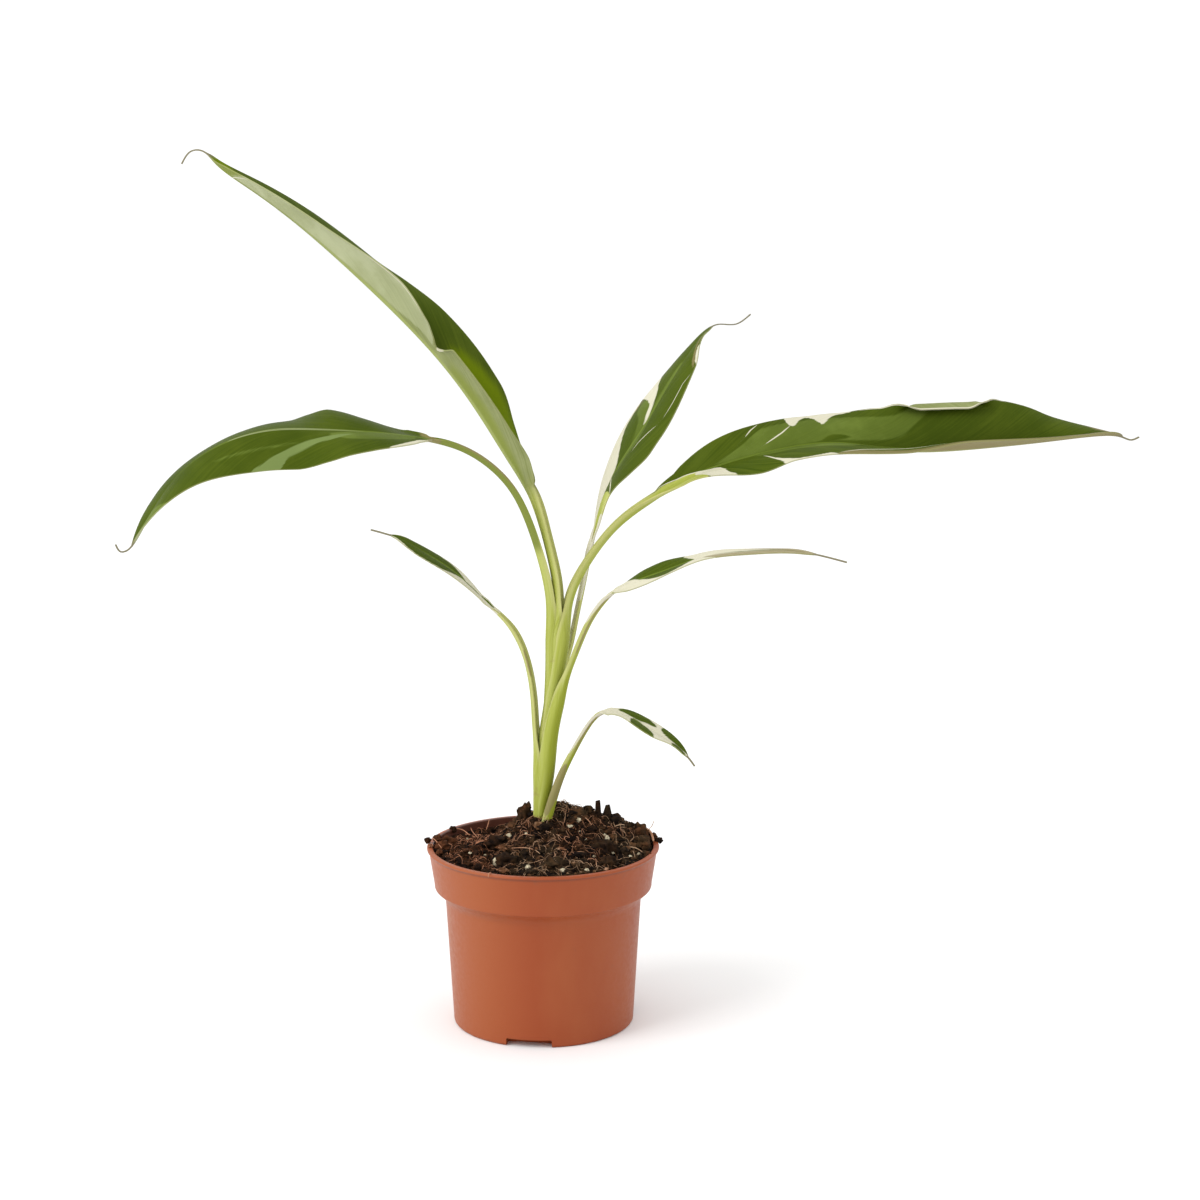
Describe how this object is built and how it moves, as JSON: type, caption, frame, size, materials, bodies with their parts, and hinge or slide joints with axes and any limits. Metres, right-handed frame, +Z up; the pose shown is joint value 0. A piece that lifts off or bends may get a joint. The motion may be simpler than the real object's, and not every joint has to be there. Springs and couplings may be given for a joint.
{
  "type": "potted banana plant",
  "caption": "Young variegated banana plant: a false stem of wrapped sheaths with arching, folded leaves, standing in heaped soil in a small terracotta-coloured nursery pot.",
  "frame": {"origin": "centre of the pot's flat base, on the plane the pot rests on", "axes": "+Z up along the pot's axis; +X to the right as the picture shows the plant; +Y away from the picture's camera"},
  "size_m": [0.2556, 0.0746, 0.2237],
  "materials": {
    "pot_plastic": "satin",
    "potting_soil": "matte",
    "stem_green": "satin",
    "leaf_green": "satin"
  },
  "bodies": {
    "root": {"pot": "pot_plastic", "soil": "potting_soil", "pseudostem": "stem_green", "leaf_tall_left": "leaf_green", "leaf_drooping_left": "leaf_green", "leaf_slender_left": "leaf_green", "leaf_upright_right": "leaf_green", "leaf_broad_right": "leaf_green", "leaf_slender_right": "leaf_green", "leaf_low_right": "leaf_green"}
  },
  "joints": []
}
